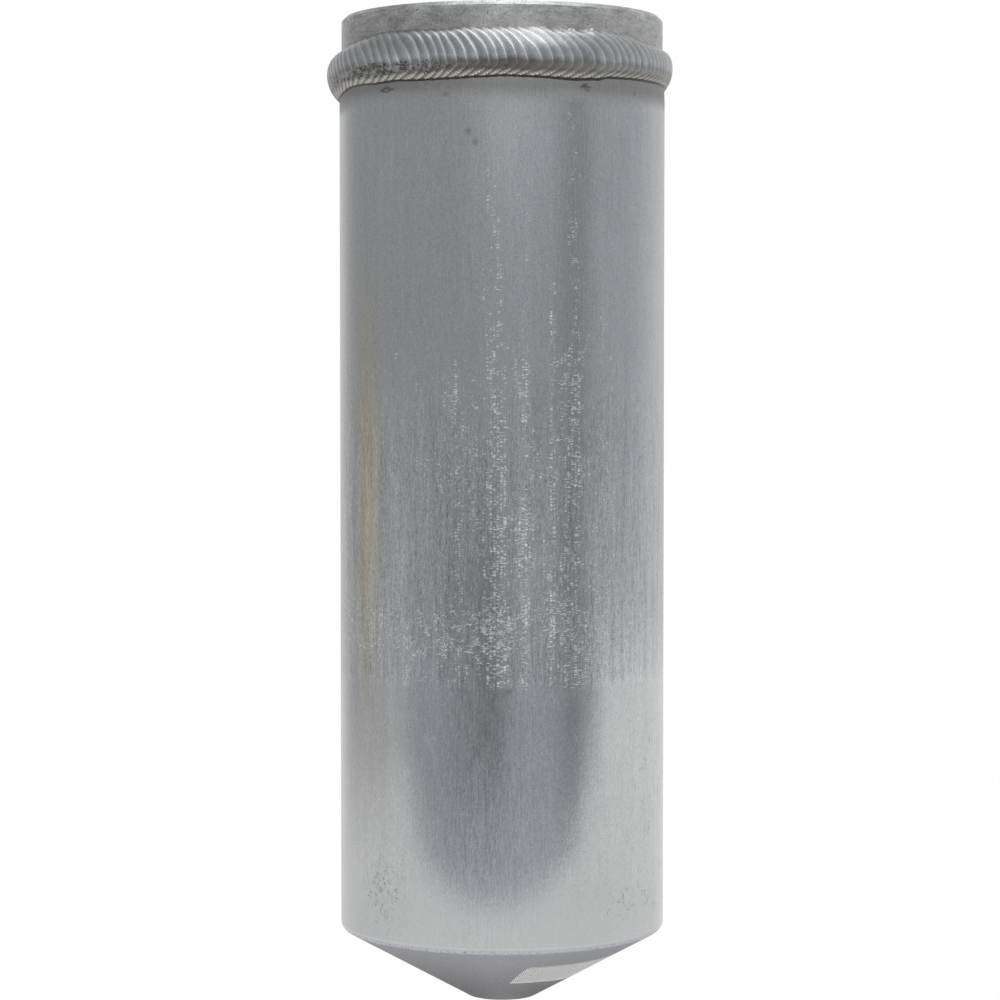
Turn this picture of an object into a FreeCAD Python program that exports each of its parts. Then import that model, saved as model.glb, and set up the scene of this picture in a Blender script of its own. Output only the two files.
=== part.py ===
"""Receiver drier: a welded aluminium can with a flat block head and a cone-shaped sump.

Millimetres, +Z up. The origin is the centre of the head's flat port face, and everything
else hangs below it. The inlet opens into the space under the head, the charge flows down
through the felts and the desiccant, and a bent tube lifts clean liquid from the sump.
"""
import FreeCAD, Part
import math
import os

from FreeCAD import Vector

# Outer can
can_radius = 30.0
can_wall = 2.3
can_corner_depth = 167.8
knuckle_radius = 1.6
cone_angle = 29.2
tip_radius = 6.2
tip_rounding = 1.2

# Head
head_step = 0.4
rim_chamfer = 0.75
flange_thickness = 9.6
spigot_length = 8.4
spigot_clearance = 0.15
spigot_lead = 0.8
spring_groove_depth = 1.0

# Weld between the head and the can
groove_depth = 1.5
groove_angle = 45.0
weld_land_taper = 0.15
weld_land_margin = 0.3
bead_height = 8.5
bead_proud = 1.85
bead_rise = 0.35
bead_left_growth = 1.2
bead_left_proud = 0.42
bead_left_focus = 24
toe_wobble = 0.2
ripple_count = 98
ripple_height = 0.24
ripple_bow = 0.9

# Ports and bolt holes in the head
port_radius = 6.0
port_depth = 9.0
port_lead = 1.0
inlet_passage_radius = 4.0
bolt_offset = 15.0
bolt_minor_radius = 2.5
bolt_depth = 12.0
bolt_lead = 0.6
drill_point_angle = 59.0

# Pickup tube
tube_radius = 4.0
tube_wall = 1.0
socket_depth = 7.0
bend_lead = 2.0
bend_radius = 12.0
bend_run = 5.8
bend_tail = 3.0
strainer_floor_gap = 2.0
tube_end_gap = 9.0

# Plates, screens and felts of the drying pack
plate_thickness = 1.2
plate_clearance = 0.2
plate_rim_height = 4.0
plate_bend_radius = 1.8
screen_thickness = 0.5
felt_thickness = 4.0
support_height = 24.0
hole_radius = 1.8
hole_margin = 0.6
hole_ring_pitch = 4.6
hole_pitch = 9.5
running_clearance = 0.15

# Bushes that centre the tube in the plates
bush_wall = 1.6
bush_flange_width = 1.6
bush_flange_thickness = 1.2

# Spring that keeps the pack tight
spring_wire_radius = 1.1
spring_rim_gap = 2.8
spring_tube_gap = 4.3
spring_groove_clearance = 0.4
spring_turns = 3.5
spring_steps_per_turn = 20

# Strainer on the foot of the tube
strainer_wall = 1.5
strainer_grip = 5.0
strainer_disc_thickness = 1.2
strainer_rib_count = 4
strainer_rib_width = 2.0
gauze_thickness = 0.3
gauze_overlap = 1.0

# Sticker on the cone
label_tip_gap = 8.1
label_width = 10.5
label_thickness = 0.15
label_start_angle = -82.0
label_sweep = 118.0

# Places that follow from the sizes above
cone_slope = math.tan(math.radians(cone_angle))
bore_radius = can_radius - can_wall
head_radius = can_radius - head_step
joint_z = -flange_thickness
underside_z = joint_z - spigot_length
groove_root_radius = can_radius - groove_depth
groove_rise = math.tan(math.radians(groove_angle))

# The mouth's weld land ends just below the lowest point of the bead, where the clamping wall begins
bead_sag = bead_left_growth + toe_wobble / 2
bead_half_height = (bead_height + bead_left_growth + toe_wobble) / 2
land_end_z = joint_z + bead_rise - bead_sag - bead_half_height - weld_land_margin


def cone_z(radius, inset=0.0):
    """Height of the cone at a radius, or of the surface that lies inset millimetres inside it."""
    outer = -can_corner_depth - (can_radius - radius) * cone_slope
    return outer + inset / math.cos(math.radians(cone_angle))


tip_z = cone_z(tip_radius)
floor_z = tip_z + can_wall

# The spring stands inside the upper plate's rim, and the ports keep the tube clear of it
pack_radius = bore_radius - plate_clearance
spring_coil_radius = pack_radius - plate_thickness - spring_rim_gap - spring_wire_radius
port_offset = spring_coil_radius - spring_wire_radius - spring_tube_gap - tube_radius

# Angle of the tube's two equal bends, which with the run between them take it to the can's axis
bend_reach = math.hypot(bend_run, 2 * bend_radius)
bend_angle = math.atan2(2 * bend_radius, bend_run) + math.asin((port_offset - 2 * bend_radius) / bend_reach)
bend_height = 2 * bend_radius * math.sin(bend_angle) + bend_run * math.cos(bend_angle)
plenum_height = bend_lead + bend_height + bend_tail

# The drying pack from the top down, and from its support up
upper_plate_z = underside_z - plenum_height
upper_screen_z = upper_plate_z - plate_thickness
upper_felt_z = upper_screen_z - screen_thickness
bed_top_z = upper_felt_z - felt_thickness
support_foot_z = cone_z(pack_radius, can_wall)
support_deck_z = support_foot_z + support_height
lower_felt_z = support_deck_z + screen_thickness
bed_bottom_z = lower_felt_z + felt_thickness
tube_end_z = floor_z + tube_end_gap
bush_radius = tube_radius + bush_wall
bush_flange_radius = bush_radius + bush_flange_width

# Flow holes: rings from beside the bush's flange to beside the spring's seat
first_ring_radius = bush_flange_radius + hole_margin + hole_radius
last_ring_radius = spring_coil_radius - spring_wire_radius - hole_margin - hole_radius


def polygon_with_rounds(corners):
    """Closed wire in the XZ plane through (r, z) or (r, z, rounding) corners, rounds as arcs."""
    points = [Vector(c[0], 0, c[1]) for c in corners]
    rounds = [c[2] if len(c) > 2 else 0.0 for c in corners]
    count = len(points)
    entries = []
    for i, point in enumerate(points):
        back = (points[i - 1] - point).normalize()
        ahead = (points[(i + 1) % count] - point).normalize()
        if rounds[i] == 0:
            entries.append((point, point, point))
            continue
        half = back.getAngle(ahead) / 2
        reach = rounds[i] / math.tan(half)
        toward_centre = (back + ahead).normalize()
        middle = point + toward_centre * (rounds[i] / math.sin(half) - rounds[i])
        entries.append((point + back * reach, middle, point + ahead * reach))
    edges = []
    for i, (start, middle, end) in enumerate(entries):
        if rounds[i] > 0:
            edges.append(Part.Arc(start, middle, end).toShape())
        following = entries[(i + 1) % count][0]
        edges.append(Part.LineSegment(end, following).toShape())
    return Part.Wire(edges)


def revolve(corners, start=0.0, sweep=360.0):
    """Solid swept about Z by a closed (r, z) outline."""
    face = Part.Face(polygon_with_rounds(corners))
    solid = face.revolve(Vector(0, 0, 0), Vector(0, 0, 1), sweep)
    solid.rotate(Vector(0, 0, 0), Vector(0, 0, 1), start)
    return solid


def cylinder(radius, bottom, top, x=0.0, y=0.0):
    """Upright cylinder between two heights."""
    return Part.makeCylinder(radius, top - bottom, Vector(x, y, bottom))


def cone_frustum(bottom_radius, top_radius, bottom, top, x=0.0, y=0.0):
    """Upright cone frustum between two heights."""
    return Part.makeCone(bottom_radius, top_radius, top - bottom, Vector(x, y, bottom))


def ring(inner, outer, bottom, top):
    """Flat washer about the Z axis."""
    return cylinder(outer, bottom, top).cut(cylinder(inner, bottom, top))


def can():
    """Drawn can: bevel and tapered weld land at the mouth, straight wall, and a cone with a flat tip."""
    corner_z = cone_z(can_radius)
    inner_corner_z = cone_z(bore_radius, can_wall)
    mouth_radius = can_radius - weld_land_taper
    bevel_z = joint_z - (mouth_radius - groove_root_radius) * groove_rise
    floor_radius = can_radius - (cone_z(can_radius, can_wall) - floor_z) / cone_slope
    return revolve([
        (bore_radius, joint_z),
        (groove_root_radius, joint_z),
        (mouth_radius, bevel_z),
        (can_radius, land_end_z),
        (can_radius, corner_z, knuckle_radius),
        (tip_radius, tip_z, tip_rounding),
        (0, tip_z),
        (0, floor_z),
        (floor_radius, floor_z),
        (bore_radius, inner_corner_z),
    ])


def head_blank():
    """Turned head before drilling: chamfered rim, weld bevel and a spigot for the can's mouth."""
    spigot_radius = bore_radius - spigot_clearance
    bevel_z = joint_z + (head_radius - groove_root_radius) * groove_rise
    return revolve([
        (0, 0),
        (head_radius - rim_chamfer, 0),
        (head_radius, -rim_chamfer),
        (head_radius, bevel_z),
        (groove_root_radius, joint_z),
        (spigot_radius, joint_z),
        (spigot_radius, underside_z + spigot_lead),
        (spigot_radius - spigot_lead, underside_z),
        (0, underside_z),
    ])


def port_cut(x):
    """Block port: a lead-in chamfer and a plain bore for the hose end's pilot."""
    bore = cylinder(port_radius, -port_depth, 0, x)
    return bore.fuse(cone_frustum(port_radius, port_radius + port_lead, -port_lead, 0, x))


def bolt_cut(y):
    """Blind tapping hole with a small countersink and a drill point."""
    hole = cylinder(bolt_minor_radius, -bolt_depth, 0, 0, y)
    point_height = bolt_minor_radius / math.tan(math.radians(drill_point_angle))
    point = cone_frustum(0, bolt_minor_radius, -bolt_depth - point_height, -bolt_depth, 0, y)
    lead = cone_frustum(bolt_minor_radius, bolt_minor_radius + bolt_lead, -bolt_lead, 0, 0, y)
    return hole.fuse([point, lead])


def head():
    """Block head with an inlet port, an outlet port over the tube's socket and two bolt holes."""
    socket_z = underside_z + socket_depth
    groove_half = spring_wire_radius + spring_groove_clearance
    cuts = [
        port_cut(-port_offset),
        cylinder(inlet_passage_radius, underside_z, -port_depth, -port_offset),
        port_cut(port_offset),
        cylinder(tube_radius - tube_wall, socket_z, -port_depth, port_offset),
        cylinder(tube_radius, underside_z, socket_z, port_offset),
        bolt_cut(-bolt_offset),
        bolt_cut(bolt_offset),
        ring(spring_coil_radius - groove_half, spring_coil_radius + groove_half,
             underside_z, underside_z + spring_groove_depth),
    ]
    return head_blank().cut(cuts)


def bead_section(angle, swell):
    """Closed section of the weld at one angle: a bowed crown arc and its chord inside the joint.

    The bead is fuller and hangs lower on the left, at 180 degrees, and its toes wander a little.
    """
    sag = bead_left_growth * ((1 - math.cos(angle)) / 2) ** bead_left_focus
    wobble = toe_wobble * math.sin(7 * angle) * math.sin(3 * angle + 1)
    height = bead_height + sag + wobble
    middle_z = joint_z + bead_rise - sag + toe_wobble / 2 * math.sin(5 * angle + 2)
    proud = bead_proud - bead_left_proud * math.cos(angle) + swell
    crown_radius = (height * height / 4 + proud * proud) / (2 * proud)
    centre_radius = can_radius + proud - crown_radius
    root = groove_root_radius - running_clearance
    reach = math.sqrt(crown_radius ** 2 - (root - centre_radius) ** 2)
    bow = ripple_bow / can_radius

    def at(radius, z, turn):
        return Vector(radius * math.cos(angle + turn), radius * math.sin(angle + turn), z)

    upper = at(root, middle_z + reach, 0)
    crest = at(can_radius + proud, middle_z, bow)
    lower = at(root, middle_z - reach, 0)
    return Part.Wire([Part.Arc(upper, crest, lower).toShape(), Part.LineSegment(lower, upper).toShape()])


def weld_bead():
    """Rippled weld: crescent ripples round the joint, uneven toes, and the groove filled behind."""
    steps = 2 * ripple_count
    sections = []
    for i in range(steps):
        angle = 2 * math.pi * i / steps
        swell = ripple_height / 2 if i % 2 else -ripple_height / 2
        sections.append(bead_section(angle, swell))
    crown = Part.makeLoft(sections, True, True, True)
    return crown.cut([can(), head_blank()])


def tube_path(start_z):
    """Centre line of the pickup tube: socket, two equal bends toward the axis, straight drop."""
    first = Vector(port_offset, 0, underside_z - bend_lead)
    turn = Vector(math.cos(bend_angle), 0, math.sin(bend_angle))
    half = Vector(math.cos(bend_angle / 2), 0, math.sin(bend_angle / 2))
    centre = first - Vector(bend_radius, 0, 0)
    middle = centre + Vector(half.x, 0, -half.z) * bend_radius
    second = centre + Vector(turn.x, 0, -turn.z) * bend_radius
    third = second + Vector(-turn.z, 0, -turn.x) * bend_run
    centre_low = third + Vector(turn.x, 0, -turn.z) * bend_radius
    middle_low = centre_low + Vector(-half.x, 0, half.z) * bend_radius
    fourth = centre_low - Vector(bend_radius, 0, 0)
    return Part.Wire([
        Part.LineSegment(Vector(port_offset, 0, start_z), first).toShape(),
        Part.Arc(first, middle, second).toShape(),
        Part.LineSegment(second, third).toShape(),
        Part.Arc(third, middle_low, fourth).toShape(),
        Part.LineSegment(fourth, Vector(fourth.x, 0, tube_end_z)).toShape(),
    ])


def pickup_tube():
    """Aluminium tube pressed into the head's socket, bent to the can's axis, open in the sump."""
    start_z = underside_z + socket_depth
    down = Vector(0, 0, -1)
    place = Vector(port_offset, 0, start_z)
    path = tube_path(start_z)
    outer_circle = Part.Wire(Part.makeCircle(tube_radius, place, down))
    inner_circle = Part.Wire(Part.makeCircle(tube_radius - tube_wall, place, down))
    outside = path.makePipeShell([outer_circle], True, False)
    inside = path.makePipeShell([inner_circle], True, False)
    return outside.cut(inside)


def plate_holes(top_z):
    """Rings of flow holes through a plate, with the bush's hole in the middle."""
    bottom_z = top_z - plate_thickness
    cuts = [cylinder(bush_radius, bottom_z, top_z)]
    ring_steps = max(1, int((last_ring_radius - first_ring_radius) / hole_ring_pitch))
    for k in range(ring_steps + 1):
        radius = first_ring_radius + (last_ring_radius - first_ring_radius) * k / ring_steps
        count = int(2 * math.pi * radius / hole_pitch)
        for i in range(count):
            angle = 2 * math.pi * i / count
            x = radius * math.cos(angle)
            y = radius * math.sin(angle)
            cuts.append(cylinder(hole_radius, bottom_z, top_z, x, y))
    return cuts


def upper_plate():
    """Pressed pressure plate with its rim turned up round the spring."""
    bottom_z = upper_plate_z - plate_thickness
    rim_z = upper_plate_z + plate_rim_height
    plate = revolve([
        (0, bottom_z),
        (pack_radius, bottom_z, plate_bend_radius + plate_thickness),
        (pack_radius, rim_z),
        (pack_radius - plate_thickness, rim_z),
        (pack_radius - plate_thickness, upper_plate_z, plate_bend_radius),
        (0, upper_plate_z),
    ])
    return plate.cut(plate_holes(upper_plate_z))


def lower_support():
    """Perforated support cup: its skirt stands on the cone's shoulder and carries the pack."""
    inner = pack_radius - plate_thickness
    deck_bottom_z = support_deck_z - plate_thickness
    cup = revolve([
        (0, support_deck_z),
        (pack_radius, support_deck_z, plate_bend_radius + plate_thickness),
        (pack_radius, support_foot_z),
        (inner, cone_z(inner, can_wall)),
        (inner, deck_bottom_z, plate_bend_radius),
        (0, deck_bottom_z),
    ])
    return cup.cut(plate_holes(support_deck_z))


def pack_disc(bottom, top, edge_radius=pack_radius):
    """Round layer of the pack with a hole for the tube."""
    return ring(tube_radius + running_clearance, edge_radius, bottom, top)


def screens_and_felts():
    """Gauze screens and felt pads above and below the desiccant."""
    screen_radius = pack_radius - plate_bend_radius - plate_thickness
    return {
        "upper_screen": pack_disc(upper_screen_z - screen_thickness, upper_screen_z, screen_radius),
        "upper_felt": pack_disc(upper_felt_z - felt_thickness, upper_felt_z),
        "lower_felt": pack_disc(lower_felt_z, lower_felt_z + felt_thickness),
        "lower_screen": pack_disc(support_deck_z, support_deck_z + screen_thickness, screen_radius),
    }


def bush(face_z, side):
    """Flanged bush in a plate's middle hole, its flange on the side away from the screen."""
    inner = tube_radius + running_clearance
    far_z = face_z - side * plate_thickness
    flange_z = face_z + side * bush_flange_thickness
    return revolve([
        (inner, far_z),
        (bush_radius, far_z),
        (bush_radius, face_z),
        (bush_flange_radius, face_z),
        (bush_flange_radius, flange_z),
        (inner, flange_z),
    ])


def pack_spring():
    """Wide coil spring with ground ends, between the head's groove and the upper plate."""
    top_z = underside_z + spring_groove_depth
    pitch = (top_z - upper_plate_z) / spring_turns
    rise = pitch / (2 * math.pi * spring_coil_radius)
    start = Vector(spring_coil_radius, 0, upper_plate_z)
    wire_circle = Part.Wire(Part.makeCircle(spring_wire_radius, start, Vector(0, 1, rise)))
    sections = []
    for i in range(round(spring_turns * spring_steps_per_turn) + 1):
        turns = i / spring_steps_per_turn
        section = wire_circle.copy()
        section.rotate(Vector(0, 0, 0), Vector(0, 0, 1), 360 * turns)
        section.translate(Vector(0, 0, pitch * turns))
        sections.append(section)
    coil = Part.makeLoft(sections, True, True)
    room = cylinder(spring_coil_radius + 2 * spring_wire_radius, upper_plate_z, top_z)
    return coil.common(room)


def strainer_bottom_z():
    """Lower face of the strainer's end disc."""
    return floor_z + strainer_floor_gap


def strainer_frame():
    """Moulded cage: a collar that grips the tube, upright ribs and an end disc."""
    inner = tube_radius
    outer = inner + strainer_wall
    bottom = strainer_bottom_z()
    disc_top = bottom + strainer_disc_thickness
    grip_top = tube_end_z + strainer_grip
    frame = ring(inner, outer, tube_end_z, grip_top).fuse(cylinder(outer, bottom, disc_top))
    rib_height = tube_end_z - disc_top
    rib_corner = Vector(inner, -strainer_rib_width / 2, disc_top)
    rib_room = cylinder(outer, disc_top, tube_end_z)
    for i in range(strainer_rib_count):
        rib = Part.makeBox(strainer_wall, strainer_rib_width, rib_height, rib_corner)
        rib.rotate(Vector(0, 0, 0), Vector(0, 0, 1), 360 * i / strainer_rib_count)
        frame = frame.fuse(rib.common(rib_room))
    return frame.removeSplitter()


def strainer_gauze():
    """Gauze sleeve round the cage, lapped over its collar and its end disc."""
    inner = tube_radius + strainer_wall
    return ring(inner, inner + gauze_thickness, strainer_bottom_z(), tube_end_z + gauze_overlap)


def label():
    """Thin sticker that follows the cone part of the way round."""
    inner = tip_radius + label_tip_gap
    outer = inner + label_width * math.cos(math.radians(cone_angle))
    return revolve([
        (inner, cone_z(inner)),
        (outer, cone_z(outer)),
        (outer, cone_z(outer, -label_thickness)),
        (inner, cone_z(inner, -label_thickness)),
    ], label_start_angle, label_sweep)


def pieces():
    """Every sub-part under its node name."""
    parts = {
        "can": can(),
        "head": head(),
        "weld_bead": weld_bead(),
        "label": label(),
        "pickup_tube": pickup_tube(),
        "strainer_frame": strainer_frame(),
        "strainer_gauze": strainer_gauze(),
        "pack_spring": pack_spring(),
        "upper_plate": upper_plate(),
        "upper_bush": bush(upper_plate_z, 1),
        "desiccant_bed": pack_disc(bed_bottom_z, bed_top_z),
        "lower_support": lower_support(),
        "lower_bush": bush(support_deck_z - plate_thickness, -1),
    }
    parts.update(screens_and_felts())
    return parts


os.makedirs("parts", exist_ok=True)
for name, shape in pieces().items():
    shape.exportStep(f"parts/{name}.step")
    print(name, "valid" if shape.isValid() else "INVALID", len(shape.Solids), "solid",
          round(shape.Volume, 1), "mm3")
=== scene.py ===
"""Receiver drier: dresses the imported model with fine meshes, finishes, studio and camera."""
import logging
import math
from dataclasses import dataclass, field
from enum import Enum
from typing import Any, Optional, Union

import bmesh
import bpy
from mathutils import Matrix, Vector


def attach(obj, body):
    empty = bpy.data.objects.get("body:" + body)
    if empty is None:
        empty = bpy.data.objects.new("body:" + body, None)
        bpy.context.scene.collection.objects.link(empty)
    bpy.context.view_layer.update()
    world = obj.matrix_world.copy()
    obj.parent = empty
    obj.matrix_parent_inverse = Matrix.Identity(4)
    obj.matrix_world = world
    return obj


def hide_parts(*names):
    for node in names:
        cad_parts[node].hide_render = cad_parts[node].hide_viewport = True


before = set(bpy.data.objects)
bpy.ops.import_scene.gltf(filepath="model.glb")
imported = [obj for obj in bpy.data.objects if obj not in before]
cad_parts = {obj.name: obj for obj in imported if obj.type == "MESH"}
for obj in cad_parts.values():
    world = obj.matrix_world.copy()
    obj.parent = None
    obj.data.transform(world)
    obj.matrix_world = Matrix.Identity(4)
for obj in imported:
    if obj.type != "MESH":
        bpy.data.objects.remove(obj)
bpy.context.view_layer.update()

LOG = logging.getLogger("drier")
MM = 0.001
MERGE = 1e-4
UP = Vector((0, 0, 1))
BEAD_LAYERS = ("across", "crest", "proud")
Triple = tuple[float, float, float]
Rgb = tuple[float, float, float]
Span = tuple[float, float]
Socket = bpy.types.NodeSocket


class Slot(Enum):
    """Material slots of the record."""

    CAN = "can_metal"
    HEAD = "head_metal"
    WELD = "weld_metal"
    LABEL = "label_film"
    TUBE = "tube_metal"
    PLASTIC = "moulded_plastic"
    GAUZE = "gauze"
    SPRING = "spring_steel"
    PLATE = "plate_steel"
    FELT = "felt"
    DESICCANT = "desiccant"


class Signal:
    """A number socket that works in Python expressions."""

    def __init__(self, tree: "Tree", socket: Socket) -> None:
        """Wrap a socket of a tree."""
        self.tree = tree
        self.socket = socket

    def __add__(self, other: "Number") -> "Signal":
        """Sum."""
        return self.tree.math("ADD", self, other)

    def __radd__(self, other: "Number") -> "Signal":
        """Reflected sum."""
        return self.tree.math("ADD", other, self)

    def __sub__(self, other: "Number") -> "Signal":
        """Difference."""
        return self.tree.math("SUBTRACT", self, other)

    def __rsub__(self, other: "Number") -> "Signal":
        """Reflected difference."""
        return self.tree.math("SUBTRACT", other, self)

    def __mul__(self, other: "Number") -> "Signal":
        """Product."""
        return self.tree.math("MULTIPLY", self, other)

    def __rmul__(self, other: "Number") -> "Signal":
        """Reflected product."""
        return self.tree.math("MULTIPLY", other, self)

    def __pow__(self, other: "Number") -> "Signal":
        """Power."""
        return self.tree.math("POWER", self, other)

    def __neg__(self) -> "Signal":
        """Negative."""
        return self.tree.math("MULTIPLY", self, -1.0)

    def __abs__(self) -> "Signal":
        """Absolute value."""
        return self.tree.math("ABSOLUTE", self)


Number = Union[Signal, float, int]


class Tree:
    """The node tree of a material or world, with the few calls that the finishes are written in."""

    def __init__(self, owner: Union[bpy.types.Material, bpy.types.World]) -> None:
        """Start an empty tree on its owner."""
        owner.use_nodes = True
        self.nodes = owner.node_tree.nodes
        self.links = owner.node_tree.links
        self.nodes.clear()

    def node(self, kind: str, settings: Optional[dict[str, Any]] = None,
             inputs: Optional[dict[Union[int, str], Any]] = None) -> bpy.types.Node:
        """Add a node.

        Args:
            kind: Blender's node type.
            settings: properties, set before the inputs.
            inputs: values, signals or sockets by the input's name or number.

        Returns:
            The new node.
        """
        made = self.nodes.new(kind)
        for name, value in (settings or {}).items():
            setattr(made, name, value)
        for name, value in (inputs or {}).items():
            self._feed(made.inputs[name], value)
        return made

    def _feed(self, socket: Socket, value: Any) -> None:
        """Set an input's value or link it.

        Args:
            socket: the input.
            value: a signal or socket to link, or a plain value; a colour may leave out its alpha.
        """
        if isinstance(value, Signal):
            self.links.new(value.socket, socket)
        elif isinstance(value, Socket):
            self.links.new(value, socket)
        elif socket.type == "RGBA" and len(value) == 3:
            socket.default_value = (*value, 1.0)
        else:
            socket.default_value = value

    def math(self, operation: str, *values: Number, clamp: bool = False) -> Signal:
        """Math node on numbers and signals."""
        made = self.node("ShaderNodeMath", {"operation": operation, "use_clamp": clamp},
                         dict(enumerate(values)))
        return Signal(self, made.outputs[0])

    def clamp(self, value: Signal) -> Signal:
        """Value held between 0 and 1."""
        return self.math("ADD", value, 0.0, clamp=True)

    def step(self, value: Signal, low: float, high: float) -> Signal:
        """Smooth step.

        Args:
            value: what is compared.
            low: where the step is 0.
            high: where it is 1, below low for a falling step.

        Returns:
            A number from 0 to 1.
        """
        falling = low > high
        made = self.node("ShaderNodeMapRange", {"interpolation_type": "SMOOTHSTEP"}, {
            "Value": value, "From Min": min(low, high), "From Max": max(low, high),
            "To Min": 1.0 if falling else 0.0, "To Max": 0.0 if falling else 1.0})
        return Signal(self, made.outputs["Result"])

    def band(self, value: Signal, low: float, high: float, soft: float) -> Signal:
        """Mask that is 1 between low and high, with soft edges."""
        return self.step(value, low - soft, low + soft) * self.step(value, high + soft, high - soft)

    def hump(self, value: Signal, centre: float, width: float) -> Signal:
        """Bell-shaped mask round a centre."""
        return self.math("EXPONENT", -(((value - centre) * (1 / width)) ** 2))

    def dashes(self, vector: Socket, share: float, size: float) -> Signal:
        """Scattered rounded bumps.

        Args:
            vector: place, in cells.
            share: share of the cells that hold a bump, each with its own strength.
            size: radius of a bump, in cell widths.

        Returns:
            Height from 0 to 1.
        """
        cells = self.cells(vector)
        chosen = self.step(self.split(cells.outputs["Color"])[0], 1.0 - share, 1.0)
        return chosen * self.clamp(1.0 - Signal(self, cells.outputs["Distance"]) * (1 / size))

    def scaled(self, vector: Socket, scale: Triple) -> Socket:
        """Vector with each axis scaled."""
        made = self.node("ShaderNodeVectorMath", {"operation": "MULTIPLY"}, {0: vector, 1: scale})
        return made.outputs[0]

    def noise(self, vector: Socket, scale: float = 1.0, detail: float = 2.0,
              roughness: float = 0.5, distortion: float = 0.0) -> Signal:
        """Noise.

        Args:
            vector: place.
            scale: waves per unit.
            detail: number of finer layers.
            roughness: weight of the finer layers.
            distortion: how far the noise bends itself.

        Returns:
            A number from 0 to 1, mostly about 0.5.
        """
        made = self.node("ShaderNodeTexNoise", None, {
            "Vector": vector, "Scale": scale, "Detail": detail, "Roughness": roughness,
            "Distortion": distortion})
        return Signal(self, made.outputs["Fac"])

    def cells(self, vector: Socket, scale: float = 1.0) -> bpy.types.Node:
        """Voronoi node with the nearest cell's distance and colour."""
        return self.node("ShaderNodeTexVoronoi", {"feature": "F1"}, {"Vector": vector, "Scale": scale})

    def mix(self, factor: Number, first: Any, second: Any) -> Socket:
        """Colour between two colours."""
        made = self.node("ShaderNodeMix", {"data_type": "RGBA"}, {0: factor, 6: first, 7: second})
        return made.outputs[2]

    def tinted(self, colour: Any, value: Signal) -> Socket:
        """Colour multiplied by a number."""
        made = self.node("ShaderNodeVectorMath", {"operation": "SCALE"}, {0: colour, "Scale": value})
        return made.outputs[0]

    def split(self, vector: Socket) -> tuple[Signal, Signal, Signal]:
        """The three parts of a vector."""
        made = self.node("ShaderNodeSeparateXYZ", None, {0: vector})
        return tuple(Signal(self, made.outputs[i]) for i in range(3))

    def joined(self, x: Number, y: Number, z: Number) -> Socket:
        """Vector of three parts."""
        return self.node("ShaderNodeCombineXYZ", None, {0: x, 1: y, 2: z}).outputs[0]

    def bump(self, height: Signal, depth_mm: float, normal: Any = None) -> Socket:
        """Bumped normal.

        Args:
            height: relief from 0 to 1.
            depth_mm: depth of the full range.
            normal: another bumped normal to add to.

        Returns:
            The normal.
        """
        inputs = {"Height": height, "Distance": depth_mm * MM, "Strength": 1.0}
        if normal is not None:
            inputs["Normal"] = normal
        return self.node("ShaderNodeBump", None, inputs).outputs[0]


@dataclass(frozen=True)
class Place:
    """Object coordinates in millimetres, and the same round the upright axis."""

    vector: Socket
    x: Signal
    y: Signal
    z: Signal
    turn: Signal
    radius: Signal

    @classmethod
    def of(cls, tree: Tree) -> "Place":
        """Place signals of a tree; turn is in degrees, 0 at the front and growing to the right."""
        where = tree.node("ShaderNodeTexCoord").outputs["Object"]
        vector = tree.scaled(where, (1000.0, 1000.0, 1000.0))
        x, y, z = tree.split(vector)
        turn = tree.math("ARCTAN2", x, -y) * (180 / math.pi)
        radius = (x * x + y * y) ** 0.5
        return cls(vector, x, y, z, turn, radius)

    def spot(self, tree: Tree, turn: float, z: float, wide: float, tall: float) -> Signal:
        """Soft round spot on the wall, wide in degrees and tall in millimetres."""
        across = ((self.turn - turn) * (1 / wide)) ** 2
        return tree.math("EXPONENT", -(across + ((self.z - z) * (1 / tall)) ** 2))


class Finish:
    """A material made of one Principled shader."""

    name = "finish"

    def material(self) -> bpy.types.Material:
        """Build the material."""
        made = bpy.data.materials.new(self.name)
        tree = Tree(made)
        sockets = self.surface(tree, Place.of(tree))
        shader = tree.node("ShaderNodeBsdfPrincipled", None, sockets)
        tree.node("ShaderNodeOutputMaterial", None, {"Surface": shader.outputs[0]})
        return made

    def surface(self, tree: Tree, place: Place) -> dict[str, Any]:
        """Inputs of the Principled shader.

        Args:
            tree: the nodes.
            place: the surface point.

        Returns:
            Inputs by name.
        """
        raise NotImplementedError


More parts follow.
